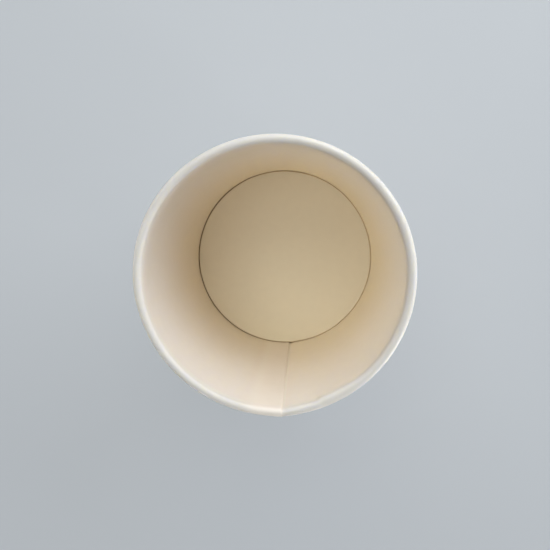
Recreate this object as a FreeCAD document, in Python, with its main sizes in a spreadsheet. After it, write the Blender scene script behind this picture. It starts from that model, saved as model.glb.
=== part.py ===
"""Paper soup container: one conical sidewall blank, lapped, curled and hemmed, and one pressed base disc.

Units are millimetres. The container stands upright, +Z up, with its axis on Z and its foot on Z = 0.

A fan-shaped blank of coated board is wrapped into a cone and glued to itself in a lap down one side. Its top
edge is rolled outwards into a curl with the cut edge tucked inside, and its bottom edge is folded in and up
into a hem. The base is a disc with its edge bent down into a skirt, and the hem pinches that skirt against
the wall, so that the disc sits a few millimetres above the surface that the container stands on.
"""
import FreeCAD, Part
import math
import os
import Sketcher

os.makedirs("parts", exist_ok=True)

DIMENSIONS = {
    # the cup as a whole
    "rim_diameter": 90.0,  # across the outside of the rolled rim
    "height": 86.0,  # from the surface it stands on to the top of the rim
    "wall_taper": 4.07,  # degrees between the wall and the axis
    # the sidewall blank
    "side_board": 0.42,  # board thickness
    "fold_radius": 0.38,  # outside radius of the fold at the foot
    "hem_height": 6.0,  # top of the folded-in hem above the foot
    "seam_azimuth": 270.0,  # where the inner ply's cut edge stands, counted from +X
    "lap_angle": 12.0,  # how far the outer ply lies on the inner one
    "joggle_angle": 5.0,  # how far the outer ply takes to climb over the inner ply's edge
    # the rolled rim
    "curl_radius": 1.45,  # outside radius of the roll
    "tuck_gap": 0.08,  # between the tucked-in edge and the wall
    "tuck_angle": 100.0,  # how far the roll goes on past its lowest point
    "seam_curl_end": 18.0,  # the same at the seam, where the double board leaves less room
    # the base
    "base_board": 0.40,  # board thickness
    "foot_recess": 7.8,  # underside of the disc above the foot
    "base_bend_radius": 0.65,  # outside radius of the bend between disc and skirt
    "skirt_clearance": 0.15,  # between the skirt's cut edge and the inside of the fold
}

doc = FreeCAD.newDocument("soup_container")
sheet = doc.addObject("Spreadsheet::Sheet", "dims")
for row, (alias, value) in enumerate(DIMENSIONS.items(), start=1):
    sheet.set(f"A{row}", alias)
    sheet.set(f"B{row}", str(value))
    sheet.setAlias(f"B{row}", alias)
doc.recompute()

TAPER = math.radians(sheet.wall_taper)
COS, SIN = math.cos(TAPER), math.sin(TAPER)

# Expressions that several sketches share. A number in them is a size from the sheet.
CURL_CENTRE_R = "(dims.rim_diameter / 2 - dims.curl_radius)"
CURL_CENTRE_Z = "(dims.height - dims.curl_radius)"
TUCK_RADIUS = "(dims.curl_radius - dims.side_board - dims.tuck_gap)"


def vector(r, z):
    """A point of a section: r from the axis, z above the foot."""
    return FreeCAD.Vector(r, z, 0)


def inner_face_radius(z):
    """Radius of the wall's inner face at height z."""
    centre_r = sheet.rim_diameter / 2 - sheet.curl_radius
    centre_z = sheet.height - sheet.curl_radius
    return centre_r - sheet.curl_radius / COS - (centre_z - z) * SIN / COS


def section_sketch(body, label, azimuth):
    """An empty sketch in the half-plane that stands on the cup's axis at an azimuth, given as an expression."""
    sketch = body.newObject("Sketcher::SketchObject", label)
    upright = [plane for plane in body.Origin.OriginFeatures if plane.Role == "XZ_Plane"][0]
    sketch.AttachmentSupport = [(upright, "")]
    sketch.MapMode = "FlatFace"
    turned = FreeCAD.Rotation(FreeCAD.Vector(0, 1, 0), 90)
    sketch.AttachmentOffset = FreeCAD.Placement(FreeCAD.Vector(0, 0, 0), turned)
    sketch.setExpression("AttachmentOffset.Rotation.Angle", azimuth)
    return sketch


START, END, CENTRE = 1, 2, 3
ORIGIN = -1

# A round stretch of the board is drawn as equal flats on a construction arc, which keeps the many small
# rings of these thin parts light.
CURL_FLATS = 9
TUCK_FLATS = 2
FOLD_FLATS = 2
BASE_BEND_FLATS = 3


class Section:
    """Draws a closed outline in a sketch, with its joints and the sizes that drive it."""

    def __init__(self, sketch):
        self.sketch = sketch
        self.edges = {}

    def line(self, name, first, last):
        self.edges[name] = self.sketch.addGeometry(Part.LineSegment(first, last), False)

    def arc(self, name, centre, radius, start_deg, end_deg):
        circle = Part.Circle(centre, FreeCAD.Vector(0, 0, 1), radius)
        arc = Part.ArcOfCircle(circle, math.radians(start_deg), math.radians(end_deg))
        self.edges[name] = self.sketch.addGeometry(arc, False)

    def round(self, name, centre, radius, start_deg, end_deg, flats):
        """A construction arc and the equal flats inscribed in it, from its start to its end."""
        self.arc(name, centre, radius, start_deg, end_deg)
        self.sketch.setConstruction(self.edges[name], True)
        turns = [math.radians(start_deg + (end_deg - start_deg) * k / flats) for k in range(flats + 1)]
        points = [centre + vector(math.cos(turn), math.sin(turn)) * radius for turn in turns]
        for k in range(flats):
            self.line(f"{name}_{k}", points[k], points[k + 1])
        self.constrain("Coincident", (f"{name}_0", START), (name, START))
        self.constrain("Coincident", (f"{name}_{flats - 1}", END), (name, END))
        for k in range(1, flats):
            self.constrain("Coincident", (f"{name}_{k}", START), (f"{name}_{k - 1}", END))
            self.constrain("PointOnObject", (f"{name}_{k}", START), name)
            self.constrain("Equal", f"{name}_{k}", f"{name}_0")

    def constrain(self, kind, *items):
        """Adds a constraint: an item is an edge's name, a pair of it and one of its points, or a number."""
        flat = []
        for item in items:
            if isinstance(item, tuple):
                flat += [self.edges.get(item[0], ORIGIN), item[1]]
            elif isinstance(item, str):
                flat.append(self.edges[item])
            else:
                flat.append(item)
        return self.sketch.addConstraint(Sketcher.Constraint(kind, *flat))

    def size(self, name, kind, *items, bound):
        """Adds a dimension and binds it to an expression."""
        index = self.constrain(kind, *items)
        self.sketch.renameConstraint(index, name)
        self.sketch.setExpression(f"Constraints.{name}", bound)


def strip_section(body, label, azimuth, ply, tucked):
    """The board of the sidewall, cut by a half-plane: hem, fold, wall and curl in one strip.

    Ply 0 lies inside. Ply 1 lies on it, one board thickness out on the wall, one in on the hem and one
    towards the middle of the curl, while the fold that they stand on is pressed to one thickness.
    """
    board = sheet.side_board
    offset = ply * board
    offset_text = f"{ply} * dims.side_board"
    pinch = (sheet.base_board + 2 * offset) / COS
    convex = sheet.curl_radius - offset
    concave = convex - board
    centre = vector(sheet.rim_diameter / 2 - sheet.curl_radius, sheet.height - sheet.curl_radius)
    outward = vector(COS, -SIN)
    along = vector(SIN, COS)
    wall_corner = vector(inner_face_radius(board) + offset / COS, board)
    hem_corner = wall_corner - vector(pinch, 0)
    hem_inside = hem_corner + along * ((sheet.hem_height - board) / COS)
    hem_outside = hem_inside - outward * board
    fold = sheet.fold_radius
    wall_face = wall_corner + outward * board
    hem_face = hem_corner - outward * board
    wall_fold = vector(wall_face.x - (fold + SIN * (wall_face.y - fold)) / COS, fold)
    hem_fold = vector(hem_face.x + (fold - SIN * (hem_face.y - fold)) / COS, fold)
    wall_side = 180 - sheet.wall_taper

    sketch = section_sketch(body, label, azimuth)
    section = Section(sketch)
    section.line("wall_inner", wall_corner, centre - outward * convex)
    section.round("curl_convex", centre, convex, -90, wall_side, CURL_FLATS)
    section.round("curl_concave", centre, concave, -90, wall_side, CURL_FLATS)
    section.line("wall_outer", wall_fold + outward * fold, centre - outward * concave)
    section.round("fold_outer", wall_fold, fold, -90, -sheet.wall_taper, FOLD_FLATS)
    section.line("foot", vector(wall_fold.x, 0), vector(hem_fold.x, 0))
    section.round("fold_inner", hem_fold, fold, wall_side, 270, FOLD_FLATS)
    section.line("hem_outer", hem_fold - outward * fold, hem_outside)
    section.line("hem_edge", hem_outside, hem_inside)
    section.line("hem_inner", hem_inside, hem_corner)
    section.line("fold_bed", hem_corner, wall_corner)

    section.constrain("Tangent", ("wall_inner", END), ("curl_convex", END))
    section.constrain("Tangent", ("wall_outer", END), ("curl_concave", END))
    section.constrain("Tangent", ("wall_outer", START), ("fold_outer", END))
    section.constrain("Tangent", ("foot", START), ("fold_outer", START))
    section.constrain("Tangent", ("foot", END), ("fold_inner", END))
    section.constrain("Tangent", ("hem_outer", START), ("fold_inner", START))
    section.constrain("Coincident", ("hem_outer", END), ("hem_edge", START))
    section.constrain("Coincident", ("hem_edge", END), ("hem_inner", START))
    section.constrain("Coincident", ("hem_inner", END), ("fold_bed", START))
    section.constrain("Coincident", ("fold_bed", END), ("wall_inner", START))
    section.constrain("Coincident", ("curl_concave", CENTRE), ("curl_convex", CENTRE))
    section.constrain("Parallel", "wall_outer", "wall_inner")
    section.constrain("Horizontal", "foot")
    section.constrain("Horizontal", "fold_bed")
    section.constrain("Parallel", "hem_inner", "wall_inner")
    section.constrain("Parallel", "hem_outer", "hem_inner")
    section.constrain("Perpendicular", "hem_edge", "hem_inner")

    section.size("centre_r", "DistanceX", ("origin", START), ("curl_convex", CENTRE), centre.x,
                 bound=CURL_CENTRE_R)
    section.size("centre_z", "DistanceY", ("origin", START), ("curl_convex", CENTRE), centre.y,
                 bound=CURL_CENTRE_Z)
    section.size("convex_radius", "Radius", "curl_convex", convex,
                 bound=f"dims.curl_radius - {offset_text}")
    section.size("concave_radius", "Radius", "curl_concave", concave,
                 bound=f"dims.curl_radius - dims.side_board - {offset_text}")
    section.size("outer_fold_radius", "Radius", "fold_outer", fold, bound="dims.fold_radius")
    section.size("inner_fold_radius", "Radius", "fold_inner", fold, bound="dims.fold_radius")
    section.size("foot_level", "DistanceY", ("origin", START), ("foot", START), 0.0, bound="0")
    section.size("bed_level", "DistanceY", ("origin", START), ("fold_bed", START), board,
                 bound="dims.side_board")
    section.size("hem_board", "Distance", "hem_edge", board, bound="dims.side_board")
    section.size("taper", "Angle", "wall_inner", math.pi / 2 - TAPER,
                 bound="(90 - dims.wall_taper) * 1 deg")
    section.size("pinch", "DistanceX", ("fold_bed", START), ("fold_bed", END), pinch,
                 bound=f"(dims.base_board + 2 * {offset_text}) / cos(dims.wall_taper)")
    section.size("hem_top", "DistanceY", ("origin", START), ("hem_edge", END), sheet.hem_height,
                 bound="dims.hem_height")
    if tucked:
        add_tuck(section, centre)
    else:
        add_curl_end(section, centre, convex, concave)
    return sketch


def add_curl_end(section, centre, convex, concave):
    """Carries the curl on by one more flat and ends it with a cut across the board."""
    last = -90 - sheet.seam_curl_end
    ray = vector(math.cos(math.radians(last)), math.sin(math.radians(last)))
    section.round("end_convex", centre, convex, last, -90, 1)
    section.round("end_concave", centre, concave, last, -90, 1)
    section.line("curl_cut", centre + ray * concave, centre + ray * convex)
    for side in ("convex", "concave"):
        section.constrain("Coincident", (f"end_{side}", CENTRE), ("curl_convex", CENTRE))
        section.constrain("Coincident", (f"end_{side}", END), (f"curl_{side}", START))
        section.constrain("Vertical", (f"curl_{side}", CENTRE), (f"curl_{side}", START))
    section.constrain("Coincident", ("curl_cut", START), ("end_concave", START))
    section.constrain("Perpendicular", ("curl_cut", END), ("end_convex", START))
    section.size("curl_end", "Angle", "curl_cut", math.radians(last),
                 bound="-(90 + dims.seam_curl_end) * 1 deg")


def add_tuck(section, centre):
    """Carries the curl on in a tighter arc that brings its cut edge up inside the roll."""
    board = sheet.side_board
    tuck = sheet.curl_radius - board - sheet.tuck_gap
    tuck_centre = centre - vector(0, sheet.curl_radius - tuck)
    last = -90 - sheet.tuck_angle
    ray = vector(math.cos(math.radians(last)), math.sin(math.radians(last)))
    section.round("tuck_convex", tuck_centre, tuck, last, -90, TUCK_FLATS)
    section.round("tuck_concave", tuck_centre, tuck - board, last, -90, TUCK_FLATS)
    section.line("tuck_cut", tuck_centre + ray * (tuck - board), tuck_centre + ray * tuck)
    section.constrain("Tangent", ("tuck_convex", END), ("curl_convex", START))
    section.constrain("Tangent", ("tuck_concave", END), ("curl_concave", START))
    section.constrain("Coincident", ("tuck_concave", CENTRE), ("tuck_convex", CENTRE))
    section.constrain("Coincident", ("tuck_cut", START), ("tuck_concave", START))
    section.constrain("Perpendicular", ("tuck_cut", END), ("tuck_convex", START))
    section.constrain("Vertical", ("tuck_convex", CENTRE), ("curl_convex", CENTRE))
    section.size("tuck_radius", "Radius", "tuck_convex", tuck, bound=TUCK_RADIUS)
    section.size("tuck_end", "Angle", "tuck_cut", math.radians(last),
                 bound="-(90 + dims.tuck_angle) * 1 deg")


def revolve(body, label, sketch, angle, clockwise=False):
    """Turns a section about the cup's axis through an angle, given as an expression."""
    feature = body.newObject("PartDesign::Revolution", label)
    feature.Profile = sketch
    feature.ReferenceAxis = (sketch, ["V_Axis"])
    feature.Reversed = clockwise
    feature.setExpression("Angle", angle)
    sketch.Visibility = False
    body.Tip = feature
    return feature


def make_sidewall():
    """The blank's turn round the cup, its joggle over its own edge, and the lap that is glued outside."""
    body = doc.addObject("PartDesign::Body", "sidewall")
    body.Label = "sidewall"
    seam = "dims.seam_azimuth"
    joggle_foot = "dims.seam_azimuth + dims.joggle_angle"

    round_section = strip_section(body, "round_section", joggle_foot, ply=0, tucked=True)
    revolve(body, "single_wall", round_section, "360 - dims.lap_angle - dims.joggle_angle")

    under_section = strip_section(body, "under_section", seam, ply=0, tucked=False)
    revolve(body, "inner_ply", under_section, "dims.lap_angle", clockwise=True)

    over_section = strip_section(body, "over_section", seam, ply=1, tucked=False)
    revolve(body, "outer_ply", over_section, "dims.lap_angle", clockwise=True)

    foot_section = strip_section(body, "joggle_section", joggle_foot, ply=0, tucked=False)
    joggle = body.newObject("PartDesign::AdditiveLoft", "joggle")
    joggle.Profile = foot_section
    joggle.Sections = [over_section]
    joggle.Ruled = True
    body.Tip = joggle
    return body


def make_base_disc():
    """The disc with its edge bent down into the skirt that the hem holds against the wall."""
    body = doc.addObject("PartDesign::Body", "base_disc")
    body.Label = "base_disc"
    board = sheet.base_board
    bend = sheet.base_bend_radius
    top = sheet.foot_recess + board
    skirt_end = sheet.side_board + sheet.skirt_clearance
    outward = vector(COS, -SIN)
    skirt_outside = vector(inner_face_radius(skirt_end), skirt_end)
    skirt_inside = skirt_outside - outward * board
    bend_z = top - bend
    face_r = inner_face_radius(bend_z)
    bend_centre = vector(face_r - bend / COS, bend_z)
    lowest = -sheet.wall_taper

    sketch = section_sketch(body, "base_section", "dims.seam_azimuth")
    section = Section(sketch)
    section.line("top", vector(0, top), vector(bend_centre.x, top))
    section.round("bend_outer", bend_centre, bend, lowest, 90, BASE_BEND_FLATS)
    section.line("skirt_outer", bend_centre + outward * bend, skirt_outside)
    section.line("skirt_edge", skirt_outside, skirt_inside)
    section.line("skirt_inner", skirt_inside, bend_centre + outward * (bend - board))
    section.round("bend_inner", bend_centre, bend - board, lowest, 90, BASE_BEND_FLATS)
    section.line("underside", vector(bend_centre.x, top - board), vector(0, top - board))
    section.line("axis", vector(0, top - board), vector(0, top))

    section.constrain("Tangent", ("top", END), ("bend_outer", END))
    section.constrain("Tangent", ("skirt_outer", START), ("bend_outer", START))
    section.constrain("Coincident", ("skirt_outer", END), ("skirt_edge", START))
    section.constrain("Coincident", ("skirt_edge", END), ("skirt_inner", START))
    section.constrain("Tangent", ("skirt_inner", END), ("bend_inner", START))
    section.constrain("Tangent", ("underside", START), ("bend_inner", END))
    section.constrain("Coincident", ("underside", END), ("axis", START))
    section.constrain("Coincident", ("axis", END), ("top", START))
    section.constrain("Coincident", ("bend_inner", CENTRE), ("bend_outer", CENTRE))
    section.constrain("Horizontal", "top")
    section.constrain("Horizontal", "underside")
    section.constrain("Parallel", "skirt_outer", "skirt_inner")
    section.constrain("Perpendicular", "skirt_edge", "skirt_outer")
    section.size("axis_r", "DistanceX", ("origin", START), ("top", START), 0.0, bound="0")
    section.constrain("Vertical", "axis")
    section.size("top_z", "DistanceY", ("origin", START), ("top", START), top,
                 bound="dims.foot_recess + dims.base_board")
    section.size("outer_radius", "Radius", "bend_outer", bend, bound="dims.base_bend_radius")
    section.size("inner_radius", "Radius", "bend_inner", bend - board,
                 bound="dims.base_bend_radius - dims.base_board")
    section.size("skirt_slope", "Angle", "skirt_inner", math.pi / 2 - TAPER,
                 bound="(90 - dims.wall_taper) * 1 deg")
    section.size("skirt_z", "DistanceY", ("origin", START), ("skirt_outer", END), skirt_end,
                 bound="dims.side_board + dims.skirt_clearance")
    section.size("skirt_r", "DistanceX", ("origin", START), ("skirt_outer", END), skirt_outside.x,
                 bound=f"{CURL_CENTRE_R} - dims.curl_radius / cos(dims.wall_taper)"
                       f" - ({CURL_CENTRE_Z} - dims.side_board - dims.skirt_clearance)"
                       " * tan(dims.wall_taper)")
    revolve(body, "pressed_disc", sketch, "360")
    return body


pieces = [make_sidewall(), make_base_disc()]
doc.recompute()

for item in doc.Objects:
    if {"Invalid", "Error"} & set(item.State):
        raise RuntimeError(f"{item.Label} did not build: {item.State}")
    if item.isDerivedFrom("Sketcher::SketchObject") and not item.FullyConstrained:
        raise RuntimeError(f"{item.Label} is not fully held by its sizes")

for piece in pieces:
    shape = piece.Shape
    if shape.isNull() or not shape.isValid() or len(shape.Solids) != 1:
        raise RuntimeError(f"{piece.Label} is not one sound solid")
    shape.exportStep(f"parts/{piece.Label}.step")
    box = shape.BoundBox
    print(f"{piece.Label}: {shape.Volume:.1f} mm3, {len(shape.Faces)} faces, "
          f"r {box.XMax:.3f}, z {box.ZMin:.3f} to {box.ZMax:.3f}")
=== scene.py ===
# %% [markdown]
# # A paper soup container
#
# The object is a round pot of white coated board, as hot soup is sold in: a tapered sidewall
# wrapped from one blank and glued along a lap, a rim rolled outwards, and a disc pressed into the
# foot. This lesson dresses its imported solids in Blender. The solids say where everything is, and
# each step models one part of the pot at that place, as it would be made by hand, and gives it the
# finish of real board.

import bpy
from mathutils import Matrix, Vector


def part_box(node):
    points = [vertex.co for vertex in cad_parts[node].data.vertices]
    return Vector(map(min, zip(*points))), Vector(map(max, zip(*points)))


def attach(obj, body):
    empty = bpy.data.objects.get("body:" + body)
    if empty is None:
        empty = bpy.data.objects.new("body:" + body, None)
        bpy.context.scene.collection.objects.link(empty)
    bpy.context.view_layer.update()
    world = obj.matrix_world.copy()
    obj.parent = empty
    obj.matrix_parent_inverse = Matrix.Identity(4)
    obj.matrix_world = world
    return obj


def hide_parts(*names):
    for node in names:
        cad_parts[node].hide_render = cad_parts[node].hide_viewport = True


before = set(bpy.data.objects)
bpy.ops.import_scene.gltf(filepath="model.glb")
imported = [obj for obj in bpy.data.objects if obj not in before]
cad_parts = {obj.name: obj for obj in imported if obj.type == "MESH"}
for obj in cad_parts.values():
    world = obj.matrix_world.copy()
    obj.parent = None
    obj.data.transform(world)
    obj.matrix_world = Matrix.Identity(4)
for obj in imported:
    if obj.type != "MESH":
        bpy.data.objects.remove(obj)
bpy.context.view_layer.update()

# %% [markdown]
# ## Sizes
#
# The two solids give the rim, the height and the level of the base. The few sizes that a box
# can't show, such as the thickness of the board and how steep the wall stands, are the ones that
# the solids were drawn with. Only the base's bend is drawn tighter here, because a heated seal
# presses it close to the wall and leaves a finer groove. Everything is worked out in
# millimetres, because board is thin, and turned into metres when it goes to Blender.

# %% Sizes read from the solids, and the board's own
import math
import bpy
import numpy as np
from mathutils import Matrix, Vector

MM = 0.001
wall_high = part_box("sidewall")[1]
base_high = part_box("base_disc")[1]

RIM_RADIUS = wall_high.x / MM
HEIGHT = wall_high.z / MM
BASE_TOP = base_high.z / MM
TAPER = math.radians(4.07)
BOARD = 0.42
BASE_BOARD = 0.40
CURL = 1.45
HEM_TOP = 6.0
BASE_BEND = 0.46

SLOPE_R = math.sin(TAPER)
SLOPE_Z = math.cos(TAPER)
CURL_R = RIM_RADIUS - CURL
CURL_Z = HEIGHT - CURL
print(f"rim radius {RIM_RADIUS:.2f}, height {HEIGHT:.2f}, base at {BASE_TOP:.2f} mm")


# %% Where the wall's food side stands
def wall_radius(z):
    """Radius of the wall's food side at a height, on the line that runs into the curl."""
    return CURL_R - CURL / SLOPE_Z - (CURL_Z - z) * math.tan(TAPER)


for place_name, z in (("foot", 0.0), ("base", BASE_TOP), ("curl", CURL_Z)):
    print(f"wall radius at the {place_name}: {wall_radius(z):.2f} mm")

# %% [markdown]
# ## Camera
#
# The pot is seen from above its mouth, a little behind the middle, so that the whole inside shows
# down to the disc. A camera can be aimed by a Track To constraint, but straight above an
# object the constraint's idea of up is fragile. Here the three directions of the camera are
# worked out and set as its turn, and the roll makes the side seam hang almost straight down.

# %% The camera over the mouth
CAMERA_PLACE = Vector((14.6, 23.35, 304.6)) * MM
CAMERA_AIM = Vector((0.5, 0.65, 84.55)) * MM
CAMERA_ROLL = math.radians(-3.64)
CAMERA_LENS = 45.8
CAMERA_SENSOR = 36.0
CAMERA_NEAR = 0.01

backward = (CAMERA_PLACE - CAMERA_AIM).normalized()
level_right = Vector((0, 1, 0)).cross(backward).normalized()
level_up = backward.cross(level_right)
right = level_right * math.cos(CAMERA_ROLL) + level_up * math.sin(CAMERA_ROLL)
up = backward.cross(right)

bpy.ops.object.camera_add()
camera = bpy.context.object
camera.name = "mouth_camera"
camera_turn = Matrix((right, up, backward)).transposed().to_4x4()
camera.matrix_world = Matrix.Translation(CAMERA_PLACE) @ camera_turn
camera.data.lens = CAMERA_LENS
camera.data.sensor_width = CAMERA_SENSOR
camera.data.clip_start = CAMERA_NEAR
bpy.context.scene.camera = camera
bpy.context.scene.view_settings.view_transform = "Standard"
print("camera looks along", [round(x, 3) for x in -backward])

# %% [markdown]
# ## Floor and light
#
# The floor is a plain pale sheet under the foot, a little cool, so that the white rim stands out
# from it. A broad key lamp, low at the back right, comes in over the rim and lights only the far
# side of the inside, near the mouth. A second lamp, higher and straight behind, reaches most of
# the way down the front wall, and a third, almost overhead, reaches the disc. Three small lamps
# stand level with the mouth, at the right, in front and at the left. They light the outside, and
# some of their light comes through the board. The rest of the light inside is what the board
# throws from wall to wall. The deep parts look warmer than the rim partly for that, and partly
# because the board's colour is painted warmer towards the bottom, as painted bounce light. The
# world fills in evenly, so that no side is dark.
#
# A narrow spread keeps most of the low lamps' light off the floor.

# %% A helper that adds an area lamp
LAMP_DISTANCE = 0.60


def studio_lamp(name, azimuth, elevation, size, watts, colour, spread=180):
    """A square area lamp that looks at the mouth. Azimuth, elevation and spread are in degrees."""
    around = math.radians(azimuth)
    above = math.radians(elevation)
    away = Vector((math.cos(around) * math.cos(above), math.sin(around) * math.cos(above), math.sin(above)))
    mouth = Vector((0, 0, CURL_Z)) * MM
    place = mouth + away * LAMP_DISTANCE
    turn = away.to_track_quat("Z", "Y").to_euler()
    bpy.ops.object.light_add(type="AREA", location=place, rotation=turn)
    lamp = bpy.context.object
    lamp.name = name
    lamp.data.shape = "SQUARE"
    lamp.data.size = size
    lamp.data.energy = watts
    lamp.data.color = colour
    lamp.data.spread = math.radians(spread)
    lamp.visible_camera = False
    print(f"{name}: {watts} W at {[round(x, 2) for x in place]}")


# %% The lamps
COOL_WHITE = (0.97, 0.98, 1.0)
WARM_WHITE = (1.0, 0.98, 0.92)
SOFT_WHITE = (1.0, 0.98, 0.95)
LOW_SIZE = 0.12
LOW_SPREAD = 28

studio_lamp("key_lamp", 42, 19, 0.50, 2.72, COOL_WHITE)
studio_lamp("high_lamp", 96, 46, 0.45, 1.48, WARM_WHITE)
studio_lamp("top_lamp", 180, 76, 0.34, 0.60, WARM_WHITE)
for name, azimuth, elevation, watts in (
    ("low_right_lamp", 319, 0, 0.061),
    ("low_front_lamp", 240, -3, 0.022),
    ("low_left_lamp", 170, -3, 0.016),
):
    studio_lamp(name, azimuth, elevation, LOW_SIZE, watts, SOFT_WHITE, LOW_SPREAD)

# %% [markdown]
# ## Shader maths
#
# Board is almost plain, and its finish is a handful of soft masks that tint it and roughen it.
# Such masks are sums and products. Node by node they are tedious to wire, so a small class
# wraps an output and lets Python's own signs add the Math nodes.


# %% Wires that can be added and multiplied
class Wire:
    """An output in a node tree, with arithmetic that adds Math nodes."""

    def __init__(self, tree, output=None):
        self.tree = tree
        self.output = output

    def node(self, kind, settings=None, inputs=None, output=0):
        """Adds a node: its settings come first, then values or wires for its inputs."""
        made = self.tree.nodes.new("ShaderNode" + kind)
        for name, value in (settings or {}).items():
            setattr(made, name, value)
        for place, value in (inputs or {}).items():
            if isinstance(value, Wire):
                self.tree.links.new(value.output, made.inputs[place])
            else:
                made.inputs[place].default_value = value
        return Wire(self.tree, made.outputs[output])

    def maths(self, operation, *values):
        return self.node("Math", {"operation": operation}, dict(enumerate(values)))

    def __add__(self, other):
        return self.maths("ADD", self, other)

    def __sub__(self, other):
        return self.maths("SUBTRACT", self, other)

    def __rsub__(self, other):
        return self.maths("SUBTRACT", other, self)

    def __mul__(self, other):
        return self.maths("MULTIPLY", self, other)

    __radd__ = __add__
    __rmul__ = __mul__

    def between(self, low, high):
        """0 below low, 1 above high, and a smooth rise from one to the other."""
        settings = {"interpolation_type": "SMOOTHSTEP"}
        return self.node("MapRange", settings, {"Value": self, "From Min": low, "From Max": high})


# %% Places on the board, noise and mixing
def object_place(tree):
    """The point being shaded, in the object's own coordinates, in metres."""
    return Wire(tree).node("TexCoord", output="Object")


def noise(place, per_metre, detail=2.0):
    """Smooth noise from 0 to 1 with so many lumps to the metre."""
    return place.node("TexNoise", None, {"Vector": place, "Scale": per_metre, "Detail": detail})


def mix_colours(amount, first, second):
    """A colour between two, each of them a wire or three numbers."""
    ends = [c if isinstance(c, Wire) else (*c, 1.0) for c in (first, second)]
    return amount.node("Mix", {"data_type": "RGBA"}, {0: amount, 6: ends[0], 7: ends[1]}, output=2)


def new_finish(name):
    """A material with a Principled shader: returns the material, its tree and the shader."""
    material = bpy.data.materials.new(name)
    material.use_nodes = True
    tree = material.node_tree
    return material, tree, tree.nodes["Principled BSDF"]


# %% The floor, the world and what the camera sees behind
CARD_TONES = ((0.24, 0.26, 0.28), (0.26, 0.28, 0.30))
CARD_CLOUDS = 9.0
PALE = (0.46, 0.49, 0.52)
FLOOR_GLOW = 0.66
WORLD_COLOUR = (0.90, 0.935, 0.965, 1.0)
WORLD_SEEN = 0.48
WORLD_LIGHT = 0.17
BLACK = (0.0, 0.0, 0.0)


def looked_at(tree):
    """1 for what is seen, straight, in gloss or through glass, and 0 for the light it throws."""
    kinds = ("Camera", "Glossy", "Transmission")
    camera, glossy, through = (Wire(tree).node("LightPath", output=f"Is {kind} Ray") for kind in kinds)
    return camera.maths("MAXIMUM", camera, glossy.maths("MAXIMUM", glossy, through))


def floor_finish():
    """Matt card that looks pale, almost one colour, but throws little light up at the pot."""
    material, tree, shader = new_finish("pale_floor")
    colour = mix_colours(noise(object_place(tree), CARD_CLOUDS), *CARD_TONES)
    glow = mix_colours(looked_at(tree), BLACK, PALE)
    tree.links.new(colour.output, shader.inputs["Base Color"])
    tree.links.new(glow.output, shader.inputs["Emission Color"])
    shader.inputs["Emission Strength"].default_value = FLOOR_GLOW
    shader.inputs["Roughness"].default_value = 0.7
    return material


bpy.ops.mesh.primitive_plane_add(size=6.0)
floor = bpy.context.object
floor.name = "studio_floor"
floor.data.materials.append(floor_finish())

world = bpy.data.worlds.new("studio_world")
world.use_nodes = True
bpy.context.scene.world = world
backdrop = world.node_tree.nodes["Background"]
backdrop.inputs["Color"].default_value = WORLD_COLOUR
strength = looked_at(world.node_tree) * (WORLD_SEEN - WORLD_LIGHT) + WORLD_LIGHT
world.node_tree.links.new(strength.output, backdrop.inputs["Strength"])
print("floor and world are in place")

# %% [markdown]
# ## The strip of board
#
# The sidewall is one strip of board all the way round: up inside the foot as a hem, round the
# fold that the pot stands on, up the wall, over the rim in a tight roll and in again. Its
# section could be drawn as a curve, but a vertex that is extruded for the straight runs and spun
# for the round ones gives exactly the rings wanted. The line drawn is the food side of the board,
# and its thickness comes later from a Solidify modifier.

# %% Corners of the section
FOLD = 0.20
FOLD_Z = 0.63
TUCK_ROOM = 0.08
TUCK = CURL - BOARD - TUCK_ROOM

fold_end_z = FOLD_Z - FOLD * SLOPE_R
fold_centre = Vector((wall_radius(fold_end_z) - FOLD * SLOPE_Z, 0, FOLD_Z))
up_the_wall = Vector((SLOPE_R, 0, SLOPE_Z))
away_from_axis = Vector((SLOPE_Z, 0, -SLOPE_R))
hem_length = (HEM_TOP - FOLD_Z - FOLD * SLOPE_R) / SLOPE_Z
hem_start = fold_centre - away_from_axis * FOLD + up_the_wall * hem_length
curl_centre = Vector((CURL_R, 0, CURL_Z))
tuck_centre = Vector((CURL_R, 0, CURL_Z - CURL + TUCK))
print("the hem starts at", [round(x, 3) for x in hem_start])


# %% Extrude the straight runs, spin the round ones
def extrude_vertex(move):
    bpy.ops.mesh.extrude_region_move(TRANSFORM_OT_translate={"value": move * MM})


def spin_vertex(centre, degrees, steps):
    """Spins what is selected about a line through centre along Y. Plus goes under the centre."""
    bpy.ops.mesh.spin(steps=steps, angle=math.radians(degrees), center=centre * MM, axis=(0, 1, 0))


bpy.ops.mesh.primitive_plane_add(size=0.001)
sidewall = bpy.context.object
sidewall.name = "sidewall_board"
bpy.ops.object.mode_set(mode="EDIT")
bpy.ops.mesh.merge(type="CENTER")
bpy.ops.transform.translate(value=hem_start * MM)

HEM_STEPS = 6
FOLD_STEPS = 10
for step in range(HEM_STEPS):
    extrude_vertex(-up_the_wall * (hem_length / HEM_STEPS))
spin_vertex(fold_centre, 180, FOLD_STEPS)

wall_length = (CURL_Z + CURL * SLOPE_R - fold_end_z) / SLOPE_Z
RING_SHARES = (
    0.0, 0.03, 0.06, 0.085, 0.11, 0.20, 0.31, 0.43, 0.55, 0.66, 0.76, 0.84, 0.90, 0.94, 0.97,
    0.987, 1.0,
)
for below, above in zip(RING_SHARES, RING_SHARES[1:]):
    extrude_vertex(up_the_wall * (wall_length * (above - below)))

CURL_STEPS = 30
CURL_DEGREES = 270 - math.degrees(TAPER)
TUCK_STEPS = 8
TUCK_DEGREES = 100
spin_vertex(curl_centre, -CURL_DEGREES, CURL_STEPS)
spin_vertex(tuck_centre, -TUCK_DEGREES, TUCK_STEPS)
bpy.ops.object.mode_set(mode="OBJECT")
print("points along the board:", len(sidewall.data.vertices))


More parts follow.
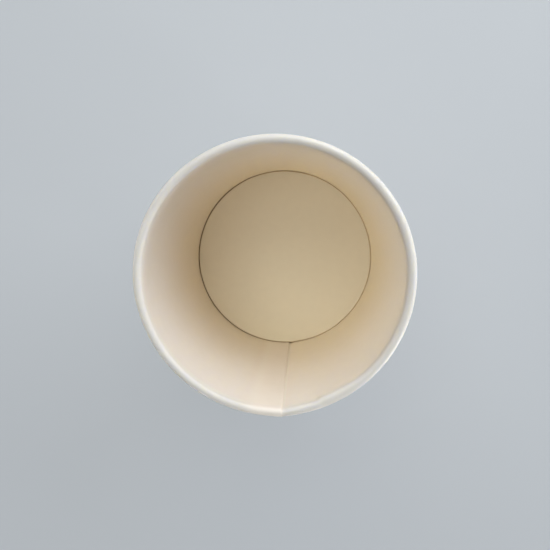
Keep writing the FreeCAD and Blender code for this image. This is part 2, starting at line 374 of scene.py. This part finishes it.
# %% Walk along the strip, to know its points in order
def chain_of(mesh, start):
    """Vertex numbers along an open line of edges, from the end nearest to start."""
    beside = {vertex.index: [] for vertex in mesh.vertices}
    for edge in mesh.edges:
        first, second = edge.vertices
        beside[first].append(second)
        beside[second].append(first)
    ends = [index for index, others in beside.items() if len(others) == 1]
    order = [min(ends, key=lambda index: (mesh.vertices[index].co - start).length)]
    while len(order) < len(mesh.vertices):
        order += [index for index in beside[order[-1]] if index not in order[-2:-1]]
    return order


stations = chain_of(sidewall.data, hem_start * MM)
print("first station", stations[0], "last station", stations[-1])

# %% [markdown]
# ## One turn and a lap
#
# The blank goes round once and then a little further, so that its ends lie over each other and
# can be glued. The spin therefore turns the strip through 372 degrees and not 360. It leaves two
# layers at the seam that lie in the same place, which the next step moves apart. The spin adds
# its points turn by turn, each turn in the strip's own order, so the points can be read as a
# table: a row for each turn and a column for each place along the board.

# %% Spin the strip about the pot's axis
LAP = 12
SEAM = 270
LAP_START = SEAM - LAP
TURNS = 620
SWEEP = 360 + LAP


def make_active(piece):
    """Selects one object alone and makes it the active one."""
    bpy.ops.object.select_all(action="DESELECT")
    piece.select_set(True)
    bpy.context.view_layer.objects.active = piece


def edit_all(piece):
    """Opens one object for editing, with all of its mesh selected."""
    make_active(piece)
    bpy.ops.object.mode_set(mode="EDIT")
    bpy.ops.mesh.select_all(action="SELECT")


edit_all(sidewall)
bpy.ops.mesh.spin(steps=TURNS, angle=-math.radians(SWEEP), center=(0, 0, 0), axis=(0, 0, 1))
bpy.ops.object.mode_set(mode="OBJECT")


def read_points(mesh):
    """The mesh's points as a table of x, y, z in millimetres."""
    flat = np.empty(len(mesh.vertices) * 3)
    mesh.vertices.foreach_get("co", flat)
    return flat.reshape(-1, 3) / MM


def write_points(mesh, points):
    mesh.vertices.foreach_set("co", (points * MM).ravel())
    mesh.update()


table = read_points(sidewall.data).reshape(TURNS + 1, len(stations), 3)[:, stations]
radii = np.hypot(table[..., 0], table[..., 1])
print("rows that differ from the first:", int((abs(radii - radii[0]) > 0.001).any(axis=1).sum()))
second_turn = math.degrees(math.atan2(table[1, 0, 1], table[1, 0, 0]))
print("second turn stands at", round(second_turn, 3), "degrees")

# %% [markdown]
# ## What hands and machines do to it
#
# A perfect turning would look like plastic. Real board keeps the marks of its making. One layer
# of the lap lies outside the other, a short joggle brings it back in line, and the cut edge that
# shows inside is pressed to a slope. The rim is a little out of round, drawn out to a peak where
# the double board resists the rolling, and one stretch of the roll beside the seam has been
# pinched flat. All of these are soft moves of points, so they are written as small functions
# of the angle round the pot and of the place along the board.


# %% Soft steps and waves
def rise(low, high, value):
    """0 below low, 1 above high, and a smooth rise from one to the other."""
    share = np.clip((value - low) / (high - low), 0.0, 1.0)
    return share * share * (3.0 - 2.0 * share)


def wave(angle, times, top):
    """A wave that goes round so many times and is highest at top degrees."""
    return np.cos(np.radians(times * (angle - top)))


def waves(angle, parts):
    """A sum of waves, each with its size in mm, its times round and its top."""
    return sum(size * wave(angle, times, top) for size, times, top in parts)


def apart(angle, other):
    """How far two directions are apart, in degrees, whichever way is shorter."""
    return np.abs((angle - other + 180.0) % 360.0 - 180.0)


# %% The section's own places and normals
angles = (LAP_START + np.arange(TURNS + 1) * SWEEP / TURNS)[:, None]
line_r = radii[0]
line_z = table[0, :, 2]
along_r = np.gradient(line_r)
along_z = np.gradient(line_z)
length = np.hypot(along_r, along_z)
back_r = along_z / length
back_z = -along_r / length

order = np.arange(len(stations))
first_curl = HEM_STEPS + FOLD_STEPS + len(RING_SHARES) - 1
first_tuck = first_curl + CURL_STEPS
on_hem = order <= HEM_STEPS
on_tuck = order > first_tuck
turned = np.clip((order - first_curl) / CURL_STEPS, 0.0, 1.0) * CURL_DEGREES
on_curl = turned > 0
FOLD_TOP = 1.5
low_fold = np.where(line_z < FOLD_TOP, np.clip(-back_z, 0.0, 1.0), 0.0)
print("the back of the board faces away from the axis:", bool(back_r[first_curl - 5] > 0.9))

# %% Two layers at the lap
# The angles run on past a full turn. The strip's second end lies inside its first, from
# INSIDE_FROM to LAST.
LAST = LAP_START + SWEEP
INSIDE_FROM = LAST - LAP
GAP = 0.015
JOGGLE = 5.0
EARLY_DROP = 0.55
LATE_DROP = 0.45
PRESSED_AWAY = 0.54
EDGE_THICKNESS = 0.25
EDGE_STEP = 0.30
EDGE_STEP_IN_ROLL = 0.08
RIDGE = 0.03
RIDGE_WIDTH = 0.7

before_joggle = 1.0 - rise(SEAM, SEAM + JOGGLE, angles)
early = EARLY_DROP * rise(SEAM - JOGGLE, SEAM, angles)
late = LATE_DROP * rise(SEAM, SEAM + 2.0, angles)
outer_layer = np.where(on_curl, 1.0 - early - late, before_joggle)
under_outer_end = rise(INSIDE_FROM - 6, INSIDE_FROM - 1, angles)
pressed = np.maximum(1.0 - rise(SEAM, SEAM + 3.0, angles), under_outer_end)
thickness = 1.0 - PRESSED_AWAY * pressed * low_fold
edge_row = np.arange(TURNS + 1)[:, None] == TURNS
thickness = thickness * (1.0 - 0.5 * rise(LAST - 5, LAST, angles) * on_curl)
thickness = np.where(edge_row, EDGE_THICKNESS, thickness)
back = outer_layer * (BOARD * thickness + GAP)
back = back + np.where(edge_row, np.where(on_curl, EDGE_STEP_IN_ROLL, EDGE_STEP), 0.0)
back = back - RIDGE * np.exp(-((angles - (LAST - 2)) / RIDGE_WIDTH) ** 2)
print("greatest step back in mm:", round(float(back.max()), 3))

# %% The loose end of the roll
SEAM_TAIL = 18.0

share = np.where(on_tuck, (order - first_tuck) / TUCK_STEPS, 0.0)
tail = np.radians(-90.0 - SEAM_TAIL * share)
open_r = CURL_R + CURL * np.cos(tail)
open_z = CURL_Z + CURL * np.sin(tail)
untucked = np.maximum(before_joggle, rise(INSIDE_FROM - 6, INSIDE_FROM, angles)) * on_tuck
r = (line_r + back_r * back) * (1 - untucked) + (open_r - np.cos(tail) * back) * untucked
z = (line_z + back_z * back) * (1 - untucked) + (open_z - np.sin(tail) * back) * untucked

# %% Out of round, and drawn out at the seam
OVAL = ((0.14, 2, -5), (0.14, 3, 36), (0.04, 4, -11))
RIPPLE = ((0.035, 7, 20), (0.02, 16, 75), (0.012, 29, 4))
RIPPLE_FROM = (0.85, 1.0)
PEAK = 0.50
PEAK_WIDTH = 6.0

up_share = np.clip(z / HEIGHT, 0.0, 1.0)
oval = waves(angles, OVAL)
peak = PEAK * np.exp(-apart(angles, SEAM) / PEAK_WIDTH)
r = r + oval * up_share ** 1.3 + peak * up_share ** 3
z = z + waves(angles, RIPPLE) * rise(*RIPPLE_FROM, up_share)
print("rim out of round by mm:", round(float(np.ptp(oval + peak)), 2))

# %% The pinched stretch of the rim
PINCH_BEGINS = (284.8, 288.6)
PINCH_ENDS = (295.0, 311.0)
PINCH_DEPTH = 0.52
PINCH_DROP = 0.27
FLANK_ENDS = (60.0, 150.0)
CREST_ENDS = (40.0, 170.0)
BELOW_ROLL = (0.90, 0.985)

pinch = rise(*PINCH_BEGINS, angles) * (1.0 - rise(*PINCH_ENDS, angles))
inner_flank = on_curl * (1.0 - rise(*FLANK_ENDS, turned))
below_curl = rise(*BELOW_ROLL, up_share)
r = r - PINCH_DEPTH * pinch * np.maximum(inner_flank, below_curl * ~on_curl)
z = z - PINCH_DROP * pinch * on_curl * (1.0 - rise(*CREST_ENDS, turned))

# %% The knurled hem and the swell of the foot
KNURLS = 120
KNURL_DEPTH = 0.10
KNURL_FROM = (0.8, 1.8)
KNURL_TO = (5.2, 6.0)
FOOT_SWELL = 0.07
SWELL_FROM = (0.6, 2.0)
SWELL_TO = (6.2, 9.0)

knurl = 0.5 + 0.5 * wave(angles, KNURLS, 0)
r = r - KNURL_DEPTH * knurl * on_hem * rise(*KNURL_FROM, line_z) * (1.0 - rise(*KNURL_TO, line_z))
r = r + FOOT_SWELL * (1.0 - rise(*SWELL_TO, line_z)) * rise(*SWELL_FROM, line_z) * ~on_hem

shaped = np.stack([r * np.cos(np.radians(angles)), r * np.sin(np.radians(angles)), z], axis=-1)
points = np.empty_like(shaped)
points[:, stations] = shaped
write_points(sidewall.data, points.reshape(-1, 3))
print("lowest and highest point in mm:", round(float(z.min()), 3), round(float(z.max()), 3))

# %% [markdown]
# ## Thickness
#
# A Solidify modifier lays the second side of the board behind the food side and closes the cut
# edges. A vertex group thins it where two layers are pressed together in the foot and where the
# inside edge is pressed to a slope. The modifier also sorts the faces: the food side keeps the
# first material, the back takes the second and the cut edges the third.

# %% Turn the food side inwards
WELD = 0.000001

edit_all(sidewall)
bpy.ops.mesh.remove_doubles(threshold=WELD)
bpy.ops.mesh.normals_make_consistent(inside=False)
bpy.ops.object.mode_set(mode="OBJECT")


def faces_axis(mesh, low, high):
    """True if the faces between two heights in mm look towards the axis."""
    found = [face for face in mesh.polygons if low * MM < face.center.z < high * MM]
    return sum(face.normal.xy.dot(face.center.xy) for face in found) < 0


if not faces_axis(sidewall.data, 30, 60):
    bpy.ops.object.mode_set(mode="EDIT")
    bpy.ops.mesh.flip_normals()
    bpy.ops.object.mode_set(mode="OBJECT")
print("food side looks inwards:", faces_axis(sidewall.data, 30, 60))

# %% The vertex group and the modifier
SHARP = math.radians(28)

board_share = sidewall.vertex_groups.new(name="board")
weights = np.empty_like(thickness)
weights[:, stations] = thickness
weights = weights.ravel()
thinned = np.nonzero(weights < 0.999)[0]
board_share.add(range(len(sidewall.data.vertices)), 1.0, "REPLACE")
for index in thinned:
    board_share.add([int(index)], float(weights[index]), "REPLACE")


def add_thickness(piece, board, group=""):
    """Solidify behind the face, with its own material for the back and for the cut edges."""
    modifier = piece.modifiers.new("board", "SOLIDIFY")
    modifier.thickness = board * MM
    modifier.offset = -1.0
    modifier.use_even_offset = True
    modifier.vertex_group = group
    modifier.material_offset = 1
    modifier.material_offset_rim = 2
    make_active(piece)
    bpy.ops.object.modifier_apply(modifier=modifier.name)
    # Nothing may reach below the floor that the pot stands on.
    stood = read_points(piece.data)
    stood[:, 2] = np.maximum(stood[:, 2], 0.0)
    write_points(piece.data, stood)
    bpy.ops.object.shade_smooth_by_angle(angle=SHARP)
    print(piece.name, "has", len(piece.data.polygons), "faces")


# %% [markdown]
# ## The pressed base
#
# The base is a second piece of board: a disc whose edge is bent down into a skirt, which the hem
# grips against the wall. It starts as a filled circle. Insets give it rings to be shaped by, its
# edge is extruded round the bend and down the skirt, and then it is thickened like the wall.

# %% A filled circle with rings in it
FIT = 0.02
AROUND = 360
RINGS = (0.4, 0.8, 1.4, 2.4, 4.0, 5.0, 5.0, 5.0, 5.0, 4.0)

bend_z = BASE_TOP - BASE_BEND
bend_centre_r = wall_radius(bend_z) - BASE_BEND / SLOPE_Z - FIT
bpy.ops.mesh.primitive_circle_add(vertices=AROUND, radius=bend_centre_r * MM, fill_type="NGON")
base = bpy.context.object
base.name = "base_board"
bpy.ops.object.mode_set(mode="EDIT")
bpy.ops.transform.translate(value=(0, 0, BASE_TOP * MM))
for ring in RINGS:
    bpy.ops.mesh.inset(thickness=ring * MM, depth=0)
bpy.ops.mesh.poke()


# %% Round the bend and down the skirt
def select_open_edge():
    """Selects the open edge of the mesh being edited."""
    bpy.ops.mesh.select_mode(type="EDGE")
    bpy.ops.mesh.select_all(action="DESELECT")
    bpy.ops.mesh.select_non_manifold(extend=False, use_wire=False, use_multi_face=False,
                                     use_non_contiguous=False, use_verts=False)


def extrude_ring(from_r, to_r, drop):
    """Extrudes the selected ring down and scales it to a new radius."""
    bpy.ops.mesh.extrude_edges_move(TRANSFORM_OT_translate={"value": (0, 0, -drop * MM)})
    factor = to_r / from_r
    bpy.ops.transform.resize(value=(factor, factor, 1.0), center_override=(0, 0, 0))


BEND_STEPS = 7
SKIRT_STEPS = 5
SKIRT_END = BOARD + 0.20
UPRIGHT = math.radians(90.0)

select_open_edge()
ring_r = bend_centre_r
ring_z = BASE_TOP
for step in range(1, BEND_STEPS + 1):
    turn = UPRIGHT - (TAPER + UPRIGHT) * step / BEND_STEPS
    next_r = bend_centre_r + BASE_BEND * math.cos(turn)
    next_z = bend_z + BASE_BEND * math.sin(turn)
    extrude_ring(ring_r, next_r, ring_z - next_z)
    ring_r, ring_z = next_r, next_z
drop = (bend_z - SKIRT_END) / SKIRT_STEPS
for step in range(SKIRT_STEPS):
    extrude_ring(ring_r, ring_r - drop * math.tan(TAPER), drop)
    ring_r -= drop * math.tan(TAPER)
bpy.ops.mesh.select_all(action="SELECT")
bpy.ops.mesh.normals_make_consistent(inside=False)
bpy.ops.object.mode_set(mode="OBJECT")
print("base has", len(base.data.vertices), "points")

# %% The disc is never quite flat
DISC_RADIUS = 36.0
FREE_TO = (33.0, 36.2)
SAG = 0.12
SWELL = 0.05
LOOSE = 0.07
SWOLLEN = 0.26

flat = read_points(base.data)
disc_r = np.hypot(flat[:, 0], flat[:, 1])
disc_angle = np.degrees(np.arctan2(flat[:, 1], flat[:, 0]))
inside = 1.0 - rise(*FREE_TO, disc_r)
sag = -SAG * (1.0 - (disc_r / DISC_RADIUS) ** 2)
swell = SWELL * np.sin(flat[:, 0] / 7.1 + 0.6) * np.cos(flat[:, 1] / 8.3 - 0.4)
flat[:, 2] += inside * (sag + swell)
at_edge = rise(34.8, DISC_RADIUS, disc_r)
loose = (0.5 + 0.5 * wave(disc_angle, 1, 165)) * at_edge
past_seam = disc_angle - (SEAM - 360)
swollen = SWOLLEN * rise(0.0, 1.0, past_seam) * (1.0 - rise(1.0, 4.6, past_seam)) * at_edge
shrink = 1.0 - (LOOSE * loose - swollen) / np.maximum(disc_r, 1.0)
flat[:, 0] *= shrink
flat[:, 1] *= shrink
write_points(base.data, flat)

top_faces = [face for face in base.data.polygons if face.center.z > (BASE_TOP - 0.3) * MM]
print("the top looks up:", sum(face.normal.z for face in top_faces) > 0)

# %% [markdown]
# ## Finishes
#
# The food side carries a thin plastic coat: satin, warm white, with the cloudiness of pulp
# under it. Its colour is painted warmer and darker towards the deep end and on the disc: painted
# bounce light of the deep inside. The outside is whiter and a touch smoother. A cut edge shows
# the raw core, which is creamier and quite dull. Where the base meets the wall the board is
# sealed with heat, and the narrow groove there is tinted brown, more on one side than on the
# other: partly the scorch of the seal, partly painted shade in the groove.
#
# A single layer of board lets some light through, so the wall glows a little where a lamp stands
# behind it. The foot and the lap are two layers thick and stay opaque. Each finish of the wall
# is therefore two shaders, and a mask of where the board is single mixes them.


# %% Where a point is on the pot
# The lap's mask fades over degrees round the pot, the foot's over heights.
SEAM_FADE = (1.6, 0.4)
OUTER_FADE = 6.0
FOOT_FADE = (8.4 * MM, 9.0 * MM)


def height_of(place):
    """The point's height above the floor, in metres."""
    return place.node("SeparateXYZ", None, {0: place}, output="Z")


def across(place):
    """The point's place on the level, with its height left out."""
    return place.node("VectorMath", {"operation": "MULTIPLY"}, {0: place, 1: (1.0, 1.0, 0.0)})


def radius_of(place):
    """How far the point is from the pot's axis, in metres."""
    level = across(place)
    return level.node("VectorMath", {"operation": "LENGTH"}, {0: level}, output="Value")


def facing(place, azimuth):
    """1 where a point lies straight towards an azimuth from the axis, -1 where it lies straight away."""
    level = across(place)
    direction = level.node("VectorMath", {"operation": "NORMALIZE"}, {0: level})
    aim = (math.cos(math.radians(azimuth)), math.sin(math.radians(azimuth)), 0.0)
    dot = {"operation": "DOT_PRODUCT"}
    return direction.node("VectorMath", dot, {0: direction, 1: aim}, output="Value")


def single_board(place):
    """1 where the wall is one layer of board, 0 where it is doubled, in the foot and at the lap."""
    seam_edge = [-math.sin(math.radians(past)) for past in SEAM_FADE]
    before_seam = facing(place, SEAM - 90).between(*seam_edge)
    past_outer_edge = facing(place, LAP_START + 90).between(-math.sin(math.radians(OUTER_FADE)), 0.0)
    return height_of(place).between(*FOOT_FADE) * (1 - before_seam * past_outer_edge)


# %% Board with a coat
GLOW = (0.95, 0.91, 0.72)
# Brown tint in the groove at the seal: partly the scorch of the heat seal, partly painted shade in the
# groove.
SEAL_AMBER = (0.88, 0.58, 0.28)
SEAL_BROWN = (0.34, 0.19, 0.06)
SEAL_LEAST = 0.35
SEAL_MORE = 0.49
SEAL_SIDE = 185
SEAL_FADE = (8.0 * MM, 8.35 * MM)
# Heights over which the painted bounce-light warmth of the deep end fades into the mouth's colour.
PAINTED_WARMTH_HEIGHTS = (10.0 * MM, 80.0 * MM)
MOUTH_TO_ROLL = (81.5 * MM, 84.0 * MM)
PULP_SHADE = (0.70, 0.62, 0.45)
CORE_TONES = ((0.76, 0.68, 0.55), (0.93, 0.89, 0.80))

# Lumps of noise to the metre.
CLOUDS = 260.0
PULP = 1400.0
GRAIN = 5200.0
FIBRES = 4200.0


def food_tone(place, cloud, tone, sealed_from):
    """Cloudy board: colours for the deep end, the mouth and the roll, with the deep end painted warmer as
    painted bounce light, and a brown tint in the groove at the seal that is partly scorch and partly
    painted shade.
    """
    height = height_of(place)
    # Painted bounce light: the colour is warmer and darker at the deep end and whitens up to the mouth.
    wall = mix_colours(height.between(*PAINTED_WARMTH_HEIGHTS), tone[0], tone[1])
    toned = mix_colours(height.between(*MOUTH_TO_ROLL), wall, tone[2])
    cloudy = mix_colours(cloud.between(0.30, 0.75) * 0.05, toned, PULP_SHADE)
    if sealed_from is None:
        return cloudy
    # The brown at the seal is partly scorch and partly painted shade in the groove, darker on one side of
    # the pot than on the other.
    at_seal = radius_of(place).between(*sealed_from) * (1 - height.between(*SEAL_FADE))
    scorch_and_shade_side = facing(place, SEAL_SIDE).between(-0.7, 0.7)
    seal = mix_colours(scorch_and_shade_side, SEAL_AMBER, SEAL_BROWN)
    return mix_colours(at_seal * (scorch_and_shade_side * SEAL_MORE + SEAL_LEAST), cloudy, seal)


def coated_board(name, roughness, tones, sealed_from=None):
    """Satin board: the first tones are for doubled board, the second for board that glows."""
    material, tree, shader = new_finish(name)
    place = object_place(tree)
    cloud = noise(place, CLOUDS, 3.0)
    pulp = noise(place, PULP, 3.0)
    relief = cloud * 0.5 + pulp * 0.35 + noise(place, GRAIN) * 0.15
    bump = relief.node("Bump", None, {"Strength": 0.22, "Distance": 0.00006, "Height": relief})
    shaders = [shader]
    if len(tones) == 2:
        shaders.append(tree.nodes.new("ShaderNodeBsdfPrincipled"))
        mixed = place.node("MixShader", None, {0: single_board(place)})
        for place_in_mix, each in enumerate(shaders, start=1):
            tree.links.new(each.outputs[0], mixed.output.node.inputs[place_in_mix])
        tree.links.new(mixed.output, tree.nodes["Material Output"].inputs["Surface"])
        shaders[1].inputs["Subsurface Weight"].default_value = 1.0
        shaders[1].inputs["Subsurface Radius"].default_value = GLOW
        shaders[1].inputs["Subsurface Scale"].default_value = MM
    for each, tone in zip(shaders, tones):
        tree.links.new(food_tone(place, cloud, tone, sealed_from).output, each.inputs["Base Color"])
        tree.links.new((roughness - 0.06 + pulp * 0.12).output, each.inputs["Roughness"])
        tree.links.new(bump.output, each.inputs["Normal"])
        each.inputs["IOR"].default_value = 1.48
        each.inputs["Specular IOR Level"].default_value = 0.45
    print("finish", name, "is ready")
    return material


def raw_core(name):
    """The cut edge of board: dull and creamy, with fibres that lie along it."""
    material, tree, shader = new_finish(name)
    place = object_place(tree)
    layers = place.node("Mapping", None, {"Vector": place, "Scale": (1.0, 1.0, 3.0)})
    fibres = noise(layers, FIBRES, 4.0)
    colour = mix_colours(fibres, *CORE_TONES)
    tree.links.new(colour.output, shader.inputs["Base Color"])
    bump = fibres.node("Bump", None, {"Strength": 0.5, "Distance": 0.00005, "Height": fibres})
    tree.links.new(bump.output, shader.inputs["Normal"])
    shader.inputs["Roughness"].default_value = 0.9
    print("finish", name, "is ready")
    return material


# %% Put the finishes on
ROLL_TONE = (0.96, 0.905, 0.835)
ROLL_GLOW_TONE = (0.965, 0.875, 0.79)
# The deep tones are painted warmer and darker than the mouth's: painted bounce light of the deep inside.
SIDE_TONES = (
    ((0.965, 0.88, 0.73), (0.97, 0.91, 0.815), ROLL_TONE),
    ((0.93, 0.775, 0.64), (0.955, 0.83, 0.76), ROLL_GLOW_TONE),
)
OUTSIDE_TONES = (
    ((0.90, 0.88, 0.84), (0.90, 0.88, 0.84), ROLL_TONE),
    ((0.93, 0.86, 0.80), (0.93, 0.86, 0.80), ROLL_GLOW_TONE),
)
# The disc is painted in the warm tone of the deep end: painted bounce light.
BASE_TONES = (((0.955, 0.90, 0.675),) * 3,)
UNDER_TONES = (((0.87, 0.84, 0.78),) * 3,)
SIDE_SEAL = (36.4 * MM, 36.8 * MM)
BASE_SEAL = (36.0 * MM, 36.4 * MM)

food_side = coated_board("side_food_side", 0.42, SIDE_TONES, SIDE_SEAL)
outside = coated_board("side_outside", 0.38, OUTSIDE_TONES)
cut_edge = raw_core("board_core")
base_food = coated_board("base_food_side", 0.44, BASE_TONES, BASE_SEAL)
base_under = coated_board("base_underside", 0.60, UNDER_TONES)

for finish in (food_side, outside, cut_edge):
    sidewall.data.materials.append(finish)
for finish in (base_food, base_under, cut_edge):
    base.data.materials.append(finish)
add_thickness(sidewall, BOARD, "board")
add_thickness(base, BASE_BOARD)

# %% [markdown]
# ## Hand over
#
# Each new piece is tied to the root body, and the solid that it stands for is hidden, so that
# the piece shows in its place.

# %% Tie the pieces to the root body and hide the solids
for piece, node, slot in ((sidewall, "sidewall", "side_board"), (base, "base_disc", "base_board")):
    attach(piece, "root")
    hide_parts(node)
